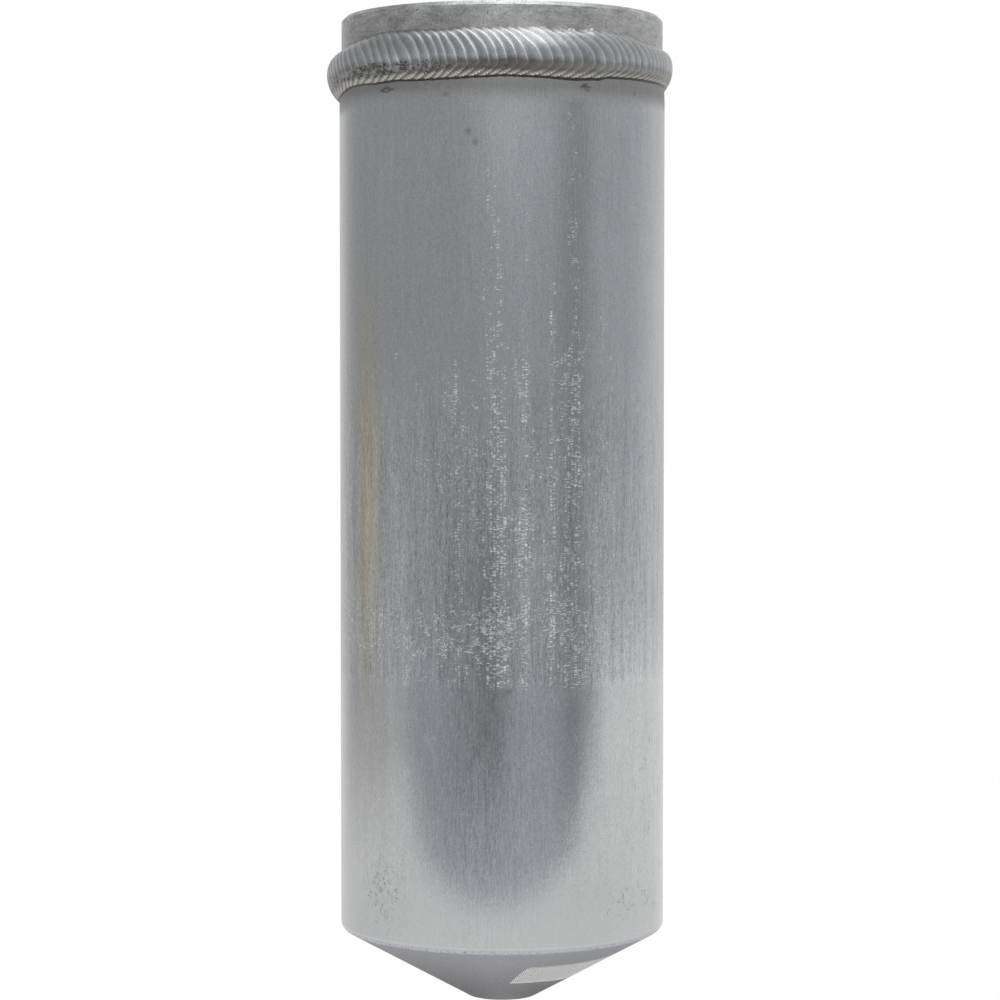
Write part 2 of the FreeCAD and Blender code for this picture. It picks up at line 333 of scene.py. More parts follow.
@dataclass(frozen=True)
class CanMetal(Finish):
    """Deep-drawn aluminium: upright draw lines, fine cross creases, scuffs, a rough heat band under the
    weld that carries a painted reflection of the bead, painted shade under the weld's toe, a cone darkened
    by painted shade toward its tip, and painted highlights on the knuckle and a dent.
    """

    name: str = "can_metal"
    colour: Rgb = (0.575, 0.58, 0.585)
    # painted shade: the cone's colour is darkened to stand for the shaded floor that it mirrors
    cone_shaded_colour: Rgb = (0.258, 0.261, 0.282)
    # painted reflection of the weld bead on the band under it
    bead_reflection_colour: Rgb = (0.49, 0.485, 0.46)
    # painted shade under the weld's toe
    toe_shade_colour: Rgb = (0.37, 0.365, 0.34)
    scuff_colour: Rgb = (0.13, 0.13, 0.12)
    # painted highlight on a dent
    dent_highlight_colour: Rgb = (0.72, 0.72, 0.72)
    roughness: float = 0.11
    anisotropy: float = 0.93
    relief: float = 0.02
    radius: float = 30.0
    heat_and_reflection_z: Span = (-18.5, -15.5)
    toe_shade_z: Span = (-16.4, -14.6)
    streaky_z: Span = (-60.0, -85.0)
    creased_z: Span = (-20.0, -85.0)
    ring_z: Span = (-114.8, -107.0)
    drawn_end: float = -120.4
    scratched_z: Span = (-150.0, -130.0)
    calm_z: Span = (-150.0, -162.0)
    cone_start: float = -167.5
    # painted highlight: where the bright line on the knuckle lies
    knuckle_highlight_z: Span = (-168.15, -167.6)
    line_scale: Triple = (3.0, 3.0, 0.24)
    fine_scale: Triple = (8.0, 8.0, 1.1)
    broad_scale: Triple = (0.55, 0.55, 0.035)
    crease_cells: Triple = (1.6, 1.6, 6.5)
    columns: tuple[Triple, ...] = (
        (-2.0, 4.5, 1.0), (8.0, 2.5, 0.8), (17.3, 1.6, 0.9), (24.5, 3.5, 0.95), (-17.0, 4.0, 0.45),
        (35.0, 4.0, 0.35))
    slants: tuple[float, ...] = (0.22, 0.5, -0.62, -0.35)
    dots: tuple[Triple, ...] = (
        (2.3, -121.3, 0.45), (-19.3, -16.3, 0.45), (-11.4, -22.9, 0.6), (-9.0, -24.8, 0.55),
        (52.0, -15.4, 0.35))

    def surface(self, tree: Tree, place: Place) -> dict[str, Any]:
        """Inputs of the Principled shader.

        Args:
            tree: the nodes.
            place: the surface point.

        Returns:
            Inputs by name.
        """
        drawn = tree.step(place.z, self.drawn_end - 1.2, self.drawn_end + 1.2)
        wall = tree.step(place.z, self.cone_start - 0.3, self.cone_start + 0.3)
        cloud = tree.noise(place.vector, 0.07, 4.0, 0.55)
        # the band under the weld is rougher from the weld's heat; its darker colour is a painted reflection
        # of the weld bead
        heat = tree.step(place.z + (cloud - 0.5) * 3.0, *self.heat_and_reflection_z)
        # painted shade: a dark band on the can just under the weld's toe
        toe = tree.step(place.z + (cloud - 0.5) * 2.0, *self.toe_shade_z)
        lines = tree.noise(tree.scaled(place.vector, self.line_scale), 1.0, 4.0, 0.7)
        fine = tree.noise(tree.scaled(place.vector, self.fine_scale), 1.0, 3.0, 0.65)
        broad = tree.noise(tree.scaled(place.vector, self.broad_scale), 1.0, 3.0, 0.6)
        grain = tree.noise(place.vector, 2.6 + 1.9 * wall, 3.0, 0.75)
        scuffs = self._scuffs(tree, place)
        lower = tree.step(place.z, *self.streaky_z) * drawn
        plain = (1.0 - drawn) * tree.hump(place.turn, -5.0, 14.0)
        calm = tree.step(place.z, *self.calm_z) * wall
        streaks = (lines - 0.5) * (0.30 + 0.55 * lower + 0.9 * plain)
        streaks = streaks + (broad - 0.5) * (0.16 + 0.45 * lower)
        streaks = streaks + (fine - 0.5) * (0.55 + 0.9 * lower + 0.5 * plain)
        shade = 1.0 + streaks * wall * (1.0 - calm * 0.7)
        shade = shade + (cloud - 0.5) * 0.14 + (grain - 0.5) * (1.0 - 0.55 * calm + 0.35 * lower)
        # painted shade: the cone gets darker toward its tip
        tip = tree.clamp((self.radius - place.radius) * 0.05) * (1.0 - wall)
        # painted highlight: a bright line on the knuckle between wall and cone
        knuckle_highlight = tree.band(place.z, *self.knuckle_highlight_z, 0.2) * tree.step(lines, 0.36, 0.5)
        shade = shade + (1.0 - wall) * 0.10 - tip * 0.80 + knuckle_highlight * 1.1
        scratched = (1.0 - drawn) * tree.step(place.z, *self.scratched_z)
        shade = shade + self._scratches(tree, place) * scratched * 0.6
        # the cone takes its darkened colour, which is painted shade
        base = tree.mix(wall, self.cone_shaded_colour, self.colour)
        base = tree.mix(heat * 0.5, base, self.bead_reflection_colour)
        base = tree.mix(toe * 0.7, base, self.toe_shade_colour)
        base = tree.tinted(base, shade)
        base = tree.mix(tree.clamp(scuffs), base, self.scuff_colour)
        # painted highlight: a light spot on a small dent
        base = tree.mix(place.spot(tree, -0.7, -109.3, 1.7, 0.9) * 0.45, base, self.dent_highlight_colour)
        rough = self.roughness + (lines - 0.5) * 0.06 + heat * 0.26 + (1.0 - wall) * 0.25
        height = (lines * (0.5 + 0.9 * drawn) + fine * 0.4) * wall + self._creases(tree, place, drawn)
        return {"Base Color": base, "Metallic": 1.0, "Roughness": tree.clamp(rough + scuffs * 0.12),
                "Anisotropic": self.anisotropy, "Normal": tree.bump(height, self.relief)}

    def _creases(self, tree: Tree, place: Place, drawn: Signal) -> Signal:
        """Short cross creases in upright columns, denser lower down, and a ring of larger ones.

        Args:
            tree: the nodes.
            place: the surface point.
            drawn: mask of the drawn part.

        Returns:
            Height of the creases.
        """
        patches = tree.noise(tree.scaled(place.vector, (0.5, 0.5, 0.07)), 1.0, 3.0, 0.6)
        bursts = tree.noise(tree.scaled(place.vector, (1.1, 1.1, 0.5)), 1.0, 2.0, 0.6)
        columns = sum(tree.hump(place.turn, turn, wide) * weight for turn, wide, weight in self.columns)
        density = tree.step(place.z, *self.creased_z) * 0.12 + columns * 0.17
        mask = tree.step(patches * 0.5 + bursts * 0.55 + density, 0.67, 0.93) * drawn
        small = tree.dashes(tree.scaled(place.vector, self.crease_cells), 0.5, 0.62)
        left = 0.25 + 0.75 * tree.step(place.turn, 14.0, -4.0)
        uneven = place.z + (bursts - 0.5) * 5.0 + (patches - 0.5) * 6.0
        ring = tree.band(uneven, *self.ring_z, 1.0) * left
        wavy = tree.joined(place.x * 0.7, place.y * 0.7, (place.z + (bursts - 0.5) * 3.2) * 2.6)
        large = tree.dashes(wavy, 0.55, 0.62)
        return small * mask * 5.6 + large * ring * 2.6

    def _scratches(self, tree: Tree, place: Place) -> Signal:
        """Fine slanting scratches below the drawn part.

        Args:
            tree: the nodes.
            place: the surface point.

        Returns:
            Strength of the scratches.
        """
        arc = place.turn * (math.radians(1.0) * self.radius)
        scratches = []
        for number, slant in enumerate(self.slants):
            lane = tree.joined((arc - place.z * slant) * 2.2, place.z * 0.05, number * 7.3)
            gaps = tree.noise(tree.joined(arc * 0.2, place.z * 0.16, number * 3.1), 1.0, 2.0, 0.5)
            line = tree.band(tree.noise(lane, 1.0, 2.0, 0.6), 0.497, 0.503, 0.004)
            scratches.append(line * tree.step(gaps, 0.54, 0.64))
        return sum(scratches)

    def _scuffs(self, tree: Tree, place: Place) -> Signal:
        """Dark scuffs and dots under the weld, and thin curls and ticks near the cone.

        Args:
            tree: the nodes.
            place: the surface point.

        Returns:
            Darkness of the marks.
        """
        smears = tree.noise(tree.scaled(place.vector, (0.8, 0.8, 2.2)), 1.0, 3.0, 0.7)
        curl = tree.noise(tree.scaled(place.vector, (0.62, 0.62, 0.5)), 1.0, 3.0, 0.55)
        tick = tree.noise(tree.scaled(place.vector, (2.6, 2.6, 0.42)), 1.0, 3.0, 0.6)
        low = (place.spot(tree, -46.0, -158.0, 12.0, 8.0) + place.spot(tree, 46.0, -160.5, 12.0, 4.0) * 0.8
               + place.spot(tree, 66.0, -161.0, 9.0, 3.5) * 0.7)
        curls = tree.band(curl, 0.487, 0.513, 0.012) * tree.step(smears + low * 0.3, 0.62, 0.8)
        curls = curls * tree.clamp(low * 1.5)
        right = tree.step(place.turn, 38.0, 60.0) * tree.band(place.z, -163.0, -126.0, 6.0)
        ticks = tree.step(tick, 0.62, 0.68) * tree.clamp(right + low)
        ticks = ticks + tree.step(tick, 0.73, 0.78) * 0.5
        marks = tree.clamp(curls) * 0.6 + ticks * 0.6
        smudges = place.spot(tree, -43.5, -15.0, 4.5, 0.7) + place.spot(tree, 29.5, -14.9, 3.8, 0.8)
        marks = marks + tree.step(smears + smudges * 0.45, 0.74, 0.95) * 0.75
        for turn, z, size in self.dots:
            marks = marks + place.spot(tree, turn, z, size * 2.0, size) * 0.45
        return marks


@dataclass(frozen=True)
class HeadMetal(Finish):
    """Turned aluminium: fine lathe rings, pits, a grey bloom from the weld's heat and painted shade on the
    left of its side.
    """

    name: str = "head_metal"
    colour: Rgb = (0.55, 0.555, 0.555)
    roughness: float = 0.40
    bloom_colour: Rgb = (0.45, 0.435, 0.405)
    pit_colour: Rgb = (0.14, 0.14, 0.13)
    relief: float = 0.03
    thread_pitch: float = 1.0
    thread_depth: float = 0.5
    thread_start_z: Span = (-0.55, -0.8)
    thread_end_z: Span = (-12.2, -11.6)
    bolt_offset: float = 15.0
    bolt_reach: Span = (2.75, 2.6)

    def surface(self, tree: Tree, place: Place) -> dict[str, Any]:
        """Inputs of the Principled shader.

        Args:
            tree: the nodes.
            place: the surface point.

        Returns:
            Inputs by name.
        """
        face = tree.step(place.z, -0.1, -0.02)
        rings = tree.noise(tree.joined(place.radius * 7.0, 0.0, place.z * 7.0), 1.0, 2.0, 0.6)
        cloud = tree.noise(place.vector, 0.22, 4.0, 0.6)
        grain = tree.noise(place.vector, 3.5, 3.0, 0.7)
        smears = tree.noise(tree.scaled(place.vector, (0.35, 0.35, 1.3)), 1.0, 4.0, 0.65)
        specks = tree.noise(place.vector, 1.7, 2.0, 0.5)
        pits = tree.step(specks + (cloud - 0.5) * 0.3 + (smears - 0.5) * 0.2, 0.68, 0.74)
        side = 1.0 - face
        shade = 1.0 + (cloud - 0.5) * (0.25 + 0.5 * side) + (rings - 0.5) * (0.8 - 0.4 * side)
        shade = shade + (grain - 0.5) * (0.7 + 0.7 * side) + (smears - 0.5) * (0.2 + 1.2 * side)
        # painted shade: the side of the head is darker on its left
        shade = shade - tree.hump(place.turn, -45.0, 28.0) * side * 0.12
        bloom = tree.step(place.z, -0.8, -3.8) * (0.4 + 0.6 * tree.step(smears, 0.4, 0.6)) * 0.7
        base = tree.mix(bloom, self.colour, self.bloom_colour)
        base = tree.mix(pits * 0.8, tree.tinted(base, shade), self.pit_colour)
        rough = self.roughness + (cloud - 0.5) * 0.2 + pits * 0.3 - face * 0.06
        threads = self._threads(tree, place)
        height = rings * 0.35 + grain * 0.5 + smears * side * 0.8 - pits * 2.0
        normal = tree.bump(threads, self.thread_depth, tree.bump(height, self.relief))
        return {"Base Color": base, "Metallic": 1.0, "Roughness": tree.clamp(rough),
                "Anisotropic": 0.4, "Anisotropic Rotation": 0.25, "Normal": normal}

    def _threads(self, tree: Tree, place: Place) -> Signal:
        """Helical thread on the bores of the two bolt holes.

        Args:
            tree: the nodes.
            place: the surface point.

        Returns:
            Height from 0 to 1.
        """
        side = abs(place.y) - self.bolt_offset
        near = tree.step((place.x * place.x + side * side) ** 0.5, *self.bolt_reach)
        below = tree.step(place.z, *self.thread_start_z) * tree.step(place.z, *self.thread_end_z)
        turns = tree.math("ARCTAN2", place.x, side) * (1 / (2 * math.pi))
        turns = turns + place.z * (1 / self.thread_pitch)
        return tree.math("PINGPONG", turns, 0.5) * 2.0 * near * below


@dataclass(frozen=True)
class WeldMetal(Finish):
    """As-welded aluminium: painted highlights on the ripple crests with painted shade in their troughs, a
    lower third browned by soot and darkened by painted shade, a band of painted shade where it turns down,
    and painted shade in the undercut.
    """

    name: str = "weld_metal"
    colour: Rgb = (0.55, 0.56, 0.57)
    # soot and painted shade of the bead's lower part
    low_soot_and_shade_colour: Rgb = (0.40, 0.385, 0.36)
    # painted shade of the band where the bead turns down
    dark_colour: Rgb = (0.10, 0.093, 0.086)
    soot_colour: Rgb = (0.07, 0.07, 0.065)
    # painted shade in the undercut
    undercut_shade_colour: Rgb = (0.035, 0.035, 0.035)
    roughness: float = 0.30
    relief: float = 0.03

    def surface(self, tree: Tree, place: Place) -> dict[str, Any]:
        """Inputs of the Principled shader.

        Args:
            tree: the nodes.
            place: the surface point.

        Returns:
            Inputs by name.
        """
        read = (tree.node("ShaderNodeAttribute", {"attribute_name": name}) for name in BEAD_LAYERS)
        across, crest, proud = (Signal(tree, node.outputs["Fac"]) for node in read)
        cloud = tree.noise(place.vector, 0.35, 3.0, 0.6)
        grain = tree.noise(place.vector, 4.5, 3.0, 0.7)
        specks = tree.noise(place.vector, 3.4, 4.0, 0.75)
        edge = across + (cloud - 0.5) * 0.18
        # painted shade: a dark band where the bead turns downward, strongest at the front
        centre = 0.62 + 0.38 * tree.hump(place.turn, 2.0, 30.0)
        dark = tree.step(edge, -0.02, -0.24) * tree.step(edge, -0.58, -0.42) * centre
        # the lower part of the bead is browner from soot and darker from painted shade
        low = tree.step(edge, -0.34, -0.48)
        left = 0.25 + 0.75 * tree.hump(place.turn, -42.0, 32.0)
        soot_band = tree.band(edge, -0.52, -0.16, 0.12)
        blots = tree.noise(tree.scaled(place.vector, (0.45, 0.45, 0.9)), 1.0, 3.0, 0.65)
        sooty = soot_band * left * (0.09 + 0.16 * tree.step(blots, 0.38, 0.60))
        soot = tree.step(specks + sooty, 0.64, 0.72)
        # painted highlight: thin bright lines on the ripple crests, strongest a little left of the front
        # and in the lower part
        line = tree.step(crest, 0.66, 0.97) * (0.30 + 0.70 * tree.hump(place.turn, -8.0, 34.0))
        shade = 1.0 + (cloud - 0.5) * 0.3 + (grain - 0.5) * 1.1 + line * (0.95 + 0.7 * low)
        # painted shade: darker troughs just behind each crest, deeper in the lower part
        shade = shade - tree.step(crest, 0.45, 0.05) * (0.24 + 0.30 * low)
        base = tree.mix(low, self.colour, self.low_soot_and_shade_colour)
        base = tree.tinted(base, shade)
        base = tree.mix(dark * 0.92, base, self.dark_colour)
        base = tree.mix(soot * 0.85, base, self.soot_colour)
        # painted shade: a near-black line in the undercut along the lower toe
        undercut = tree.step(proud, 0.40, 0.24) * tree.step(across, 0.0, -0.4)
        base = tree.mix(undercut * 0.95, base, self.undercut_shade_colour)
        rough = self.roughness + (cloud - 0.5) * 0.14 + soot * 0.3 - line * 0.06
        normal = tree.bump(grain * 0.8 - soot * 1.2, self.relief)
        return {"Base Color": base, "Metallic": 1.0, "Roughness": tree.clamp(rough), "Normal": normal}


@dataclass(frozen=True)
class LabelFilm(Finish):
    """Blank off-white sticker with a faint paper tooth and handling marks."""

    name: str = "label_film"
    colour: Rgb = (0.86, 0.86, 0.85)
    handled_colour: Rgb = (0.70, 0.70, 0.68)
    relief: float = 0.008

    def surface(self, tree: Tree, place: Place) -> dict[str, Any]:
        """Inputs of the Principled shader.

        Args:
            tree: the nodes.
            place: the surface point.

        Returns:
            Inputs by name.
        """
        tooth = tree.noise(place.vector, 9.0, 3.0, 0.7)
        cloud = tree.noise(place.vector, 0.3, 3.0, 0.6)
        grey = tree.step(cloud, 0.52, 0.72)
        base = tree.mix(grey * 0.35, self.colour, self.handled_colour)
        return {"Base Color": tree.tinted(base, 0.97 + tooth * 0.06), "Roughness": 0.42 + tooth * 0.12,
                "Normal": tree.bump(tooth, self.relief)}


@dataclass(frozen=True)
class PlainMetal(Finish):
    """Metal of a hidden piece, with streaks along or across it."""

    name: str = "metal"
    colour: Rgb = (0.6, 0.6, 0.6)
    roughness: float = 0.3
    streak: Triple = (2.0, 2.0, 2.0)
    bloom: Rgb = (0.4, 0.38, 0.34)

    def surface(self, tree: Tree, place: Place) -> dict[str, Any]:
        """Inputs of the Principled shader.

        Args:
            tree: the nodes.
            place: the surface point.

        Returns:
            Inputs by name.
        """
        streaks = tree.noise(tree.scaled(place.vector, self.streak), 1.0, 3.0, 0.6)
        cloud = tree.noise(place.vector, 0.18, 3.0, 0.6)
        base = tree.mix(tree.step(cloud, 0.5, 0.75) * 0.4, self.colour, self.bloom)
        shade = 1.0 + (streaks - 0.5) * 0.25
        return {"Base Color": tree.tinted(base, shade), "Metallic": 1.0,
                "Roughness": self.roughness + (streaks - 0.5) * 0.2, "Normal": tree.bump(streaks, 0.01)}


@dataclass(frozen=True)
class MouldedPlastic(Finish):
    """Natural nylon with a faint spark-eroded grain."""

    name: str = "moulded_plastic"
    colour: Rgb = (0.72, 0.70, 0.62)
    cloud_colour: Rgb = (0.64, 0.60, 0.50)

    def surface(self, tree: Tree, place: Place) -> dict[str, Any]:
        """Inputs of the Principled shader.

        Args:
            tree: the nodes.
            place: the surface point.

        Returns:
            Inputs by name.
        """
        grain = tree.noise(place.vector, 5.0, 3.0, 0.7)
        cloud = tree.noise(place.vector, 0.3, 2.0)
        base = tree.mix(cloud * 0.4, self.colour, self.cloud_colour)
        return {"Base Color": tree.tinted(base, 0.95 + grain * 0.1), "Roughness": 0.38 + grain * 0.16,
                "Normal": tree.bump(grain, 0.015)}


@dataclass(frozen=True)
class Gauze(Finish):
    """Fine woven wire."""

    name: str = "gauze"
    colour: Rgb = (0.62, 0.62, 0.60)
    # painted shade between the wires
    gap_shade_colour: Rgb = (0.14, 0.14, 0.13)
    pitch: float = 0.45

    def surface(self, tree: Tree, place: Place) -> dict[str, Any]:
        """Inputs of the Principled shader.

        Args:
            tree: the nodes.
            place: the surface point.

        Returns:
            Inputs by name.
        """
        wave = 2 * math.pi / self.pitch
        across = tree.math("SINE", place.x * wave)
        along = tree.math("SINE", (place.y + place.z) * wave)
        weave = tree.clamp(abs(across * along) * 1.4)
        # painted shade: dark in the gaps between the wires
        return {"Base Color": tree.mix(weave, self.gap_shade_colour, self.colour), "Metallic": 0.9,
                "Roughness": 0.5 - weave * 0.18, "Normal": tree.bump(weave, 0.08)}


@dataclass(frozen=True)
class Felt(Finish):
    """Needled polyester felt."""

    name: str = "felt"
    colour: Rgb = (0.70, 0.68, 0.62)
    # painted shade in the hollows between fibres
    hollow_shade_colour: Rgb = (0.50, 0.47, 0.40)

    def surface(self, tree: Tree, place: Place) -> dict[str, Any]:
        """Inputs of the Principled shader.

        Args:
            tree: the nodes.
            place: the surface point.

        Returns:
            Inputs by name.
        """
        fibres = tree.noise(tree.scaled(place.vector, (1.6, 1.6, 4.0)), 1.0, 5.0, 0.75, 1.5)
        tufts = tree.noise(place.vector, 0.5, 3.0)
        # painted shade: the low parts of the fibre relief are darker
        base = tree.mix(fibres, self.hollow_shade_colour, self.colour)
        return {"Base Color": tree.tinted(base, 0.9 + tufts * 0.2), "Roughness": 0.86 + fibres * 0.1,
                "Sheen Weight": 0.3, "Normal": tree.bump(fibres + tufts, 0.2)}


@dataclass(frozen=True)
class DryingBeads(Finish):
    """Bed of small round molecular sieve beads."""

    name: str = "desiccant"
    colour: Rgb = (0.72, 0.66, 0.55)
    dark_colour: Rgb = (0.56, 0.49, 0.38)
    bead_size: float = 1.9

    def surface(self, tree: Tree, place: Place) -> dict[str, Any]:
        """Inputs of the Principled shader.

        Args:
            tree: the nodes.
            place: the surface point.

        Returns:
            Inputs by name.
        """
        beads = tree.cells(place.vector, 1 / self.bead_size)
        dome_and_gap_shade = 1.0 - tree.clamp(Signal(tree, beads.outputs["Distance"]) * 1.25)
        each = tree.split(beads.outputs["Color"])[0]
        base = tree.mix(each, self.dark_colour, self.colour)
        # painted shade: each bead darkens toward its edge, in the gaps between beads
        return {"Base Color": tree.tinted(base, 0.35 + dome_and_gap_shade * 0.75), "Roughness": 0.75 + each * 0.1,
                "Normal": tree.bump(dome_and_gap_shade ** 0.5, 0.9)}


def spun(profile: list[Span], steps: int) -> bmesh.types.BMesh:
    """Full spin of a profile about the upright axis.

    Args:
        profile: (radius, height) points in millimetres.
        steps: number of faces round the axis.

    Returns:
        The spun mesh in millimetres, poles and seam merged.
    """
    made = bmesh.new()
    points = [made.verts.new((0.0, -radius, z)) for radius, z in profile]
    edges = [made.edges.new(pair) for pair in zip(points, points[1:])]
    bmesh.ops.spin(made, geom=points + edges, cent=(0, 0, 0), axis=UP, dvec=(0, 0, 0),
                   angle=2 * math.pi, steps=steps, use_merge=True)
    bmesh.ops.remove_doubles(made, verts=made.verts, dist=MERGE)
    return made


def finished(name: str, made: bmesh.types.BMesh, material: bpy.types.Material,
             nodes: tuple[str, ...]) -> bpy.types.Object:
    """Turn a mesh in millimetres into a piece of the drier.

    Args:
        name: the piece's name.
        made: the mesh, which is freed.
        material: its finish.
        nodes: the CAD nodes that it stands for.

    Returns:
        The piece, at the origin.
    """
    bmesh.ops.recalc_face_normals(made, faces=made.faces)
    bmesh.ops.transform(made, matrix=Matrix.Scale(MM, 4), verts=made.verts)
    data = bpy.data.meshes.new(name)
    made.to_mesh(data)
    made.free()
    data.materials.append(material)
    data.shade_smooth()
    piece = bpy.data.objects.new(name, data)
    bpy.context.scene.collection.objects.link(piece)
    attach(piece, "root")
    if nodes:
        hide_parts(*nodes)
    LOG.info("%s: %d faces", name, len(data.polygons))
    return piece


def interpolated(table: tuple[Span, ...], at: float) -> float:
    """Value of a table, eased between its rows and held past its ends.

    Args:
        table: rows of position and value, in order.
        at: the position asked for.

    Returns:
        The value.
    """
    if at <= table[0][0]:
        return table[0][1]
    for (start, low), (end, high) in zip(table, table[1:]):
        if at <= end:
            share = (at - start) / (end - start)
            return low + (high - low) * share * share * (3 - 2 * share)
    return table[-1][1]


@dataclass
class BeadSlice:
    """Section of the weld at one place round the can: its crown's circle, toes and ripples."""

    angle: float
    middle_z: float
    crown: float
    centre: float
    widest: float
    upper_toe: float
    lower_toe: float
    strength: float
    wander: float


@dataclass(frozen=True)
class Curl:
    """Small curl of weld metal standing on the bead."""

    turn: float
    across: float
    width: float
    height: float


@dataclass
class WeldBead:
    """Rippled weld between the head and the can, all sizes in millimetres."""

    finish: Finish = field(default_factory=WeldMetal)
    can_radius: float = 30.0
    root_radius: float = 28.4
    middle_z: float = -9.25
    height: float = 8.5
    proud: float = 1.85
    left_growth: float = 1.2
    left_proud: float = 0.42
    left_focus: int = 24
    ripple_count: int = 104
    ripple_height: float = 0.16
    ripple_middle: float = 0.75
    rising_share: float = 0.86
    apex: float = -0.27
    apex_width: float = 0.1
    apex_dip: float = 0.6
    root_fade: int = 10
    toe_across: float = 0.72
    upper_sweep: Span = (6.5, 1.8)
    lower_sweep: Span = (8.2, 1.5)
    wander: tuple[Triple, ...] = ((0.35, 5, 1), (0.15, 17, 0), (0.05, 41, 2))
    uneven: tuple[Triple, ...] = ((0.2, 23, 0), (0.15, 37, 1))
    even: float = 0.9
    steps: int = 2160
    rows: int = 44
    curl_across: float = 0.06
    curls: tuple[Curl, ...] = (Curl(24.6, 0.78, 1.3, 0.32), Curl(31.6, 0.80, 1.5, 0.34),
                               Curl(19.5, 0.84, 1.2, 0.2), Curl(12.5, 0.84, 2.0, 0.16))
    upper_toe: tuple[Span, ...] = (
        (-150, 0.0), (-110, -0.9), (-85, -1.5), (-66, -1.1), (-61, -0.7), (-54, -0.3), (-45, 0.13),
        (-33, 0.0), (-20.5, -0.13), (-12.7, 0.05), (-4, -0.07), (6, -0.08), (12.9, 0.05), (19.3, -0.3),
        (30.3, -0.3), (32.6, -0.07), (36, -0.2), (48.7, -0.4), (61, -1.3), (70, -1.6), (85, -1.6),
        (110, -0.9), (150, 0.0))
    lower_toe: tuple[Span, ...] = (
        (-88, 0.0), (-76, 0.05), (-65, 0.3), (-59, 0.1), (-48, -0.3), (-39, -0.15), (-29, -0.38),
        (-18, -0.3), (-7.4, -0.1), (-0.7, 0.1), (11.4, -0.05), (24.6, -0.37), (34, -0.15), (39, 0.42),
        (45, 0.5), (55, 0.64), (64, 0.6), (80, 0.5), (110, 0.0))
    strength: tuple[Span, ...] = (
        (-150, 0.7), (-100, 0.6), (-60, 0.45), (-42, 0.5), (-32, 0.95), (0, 1.05), (8, 0.9), (14, 0.3),
        (28, 0.25), (36, 0.4), (55, 0.55), (90, 0.7))

    def build(self) -> bpy.types.Object:
        """Roll a plain grid into a ring and its rows into the bead's closed section."""
        made = bmesh.new()
        bmesh.ops.create_grid(made, x_segments=self.steps, y_segments=self.rows, size=0.5)
        layers = [made.verts.layers.float.new(name) for name in BEAD_LAYERS]
        slices: dict[int, BeadSlice] = {}
        for vertex in made.verts:
            column = round((vertex.co.x + 0.5) * self.steps) % self.steps
            if column not in slices:
                slices[column] = self._slice(360 * column / self.steps - 180)
            cut = slices[column]
            across = 2 * (round((vertex.co.y + 0.5) * self.rows) % self.rows) / (self.rows - 1) - 1
            rise = self._rise(cut, across)
            radius, z = self._place(cut, across, rise)
            vertex.co = (radius * math.sin(cut.angle), -radius * math.cos(cut.angle), z)
            for layer, value in zip(layers, (across, rise, radius - self.can_radius)):
                vertex[layer] = value
        bmesh.ops.remove_doubles(made, verts=made.verts, dist=MERGE)
        return finished("weld_bead_rippled", made, self.finish.material(), ("weld_bead",))

    def _slice(self, turn: float) -> BeadSlice:
        """The section at a turn in degrees from the front."""
        angle = math.radians(turn)
        growth = self.left_growth * ((1 - math.sin(angle)) / 2) ** self.left_focus
        height = self.height + growth
        proud = self.proud - self.left_proud * math.sin(angle)
        crown = (height * height / 4 + proud * proud) / (2 * proud)
        centre = self.can_radius + proud - crown
        return BeadSlice(
            angle=angle, middle_z=self.middle_z - growth, crown=crown, centre=centre,
            widest=math.acos((self.root_radius - centre) / crown),
            upper_toe=interpolated(self.upper_toe, turn), lower_toe=interpolated(self.lower_toe, turn),
            strength=interpolated(self.strength, turn) * (self.even + self._waves(self.uneven, angle)),
            wander=self._waves(self.wander, angle))

    def _waves(self, table: tuple[Triple, ...], angle: float) -> float:
        """Sum of sine waves given as (height, waves round the can, phase)."""
        return sum(height * math.sin(count * angle + phase) for height, count, phase in table)

    def _place(self, cut: BeadSlice, across: float, rise: float) -> Span:
        """Place of a point of the section.

        Args:
            cut: the section.
            across: from -1 at the lower root to 1 at the upper one.
            rise: height of the ripples there, 0 to 1.

        Returns:
            Radius and height.
        """
        tilt = cut.widest * across
        toe = cut.upper_toe if across > 0 else cut.lower_toe
        z = cut.middle_z + cut.crown * math.sin(tilt) + toe * min(abs(across) / self.toe_across, 1.0) ** 2
        dip = self.apex_dip * math.exp(-((across - self.apex) / self.apex_width) ** 2)
        fade = (1 - abs(across) ** self.root_fade) * (1 - dip)
        swell = self.ripple_height * cut.strength * fade * (rise - self.ripple_middle)
        turn = math.degrees(cut.angle)
        for curl in self.curls:
            ring = math.hypot((turn - curl.turn) / curl.width, (across - curl.across) / self.curl_across)
            if ring < 2.5:
                lit = 0.4 + 0.6 * (across > curl.across)
                swell += curl.height * math.exp(-((ring - 0.8) / 0.5) ** 2) * lit
        return cut.centre + cut.crown * math.cos(tilt) + swell, z

    def _rise(self, cut: BeadSlice, across: float) -> float:
        """Height of the overlapping crescent ripples.

        Args:
            cut: the section.
            across: place on it, -1 to 1.

        Returns:
            Height from 0 to 1.
        """
        if across > self.apex:
            reach, power = self.upper_sweep
            sweep = reach * ((across - self.apex) / (1 - self.apex)) ** power
        else:
            reach, power = self.lower_sweep
            sweep = reach * ((self.apex - across) / (1 + self.apex)) ** power
        turns = self.ripple_count * (cut.angle + sweep / self.can_radius) / (2 * math.pi) + cut.wander
        phase = turns % 1.0
        if phase < self.rising_share:
            return (phase / self.rising_share) ** 2
        fall = (1 - phase) / (1 - self.rising_share)
        return fall * fall * (3 - 2 * fall)


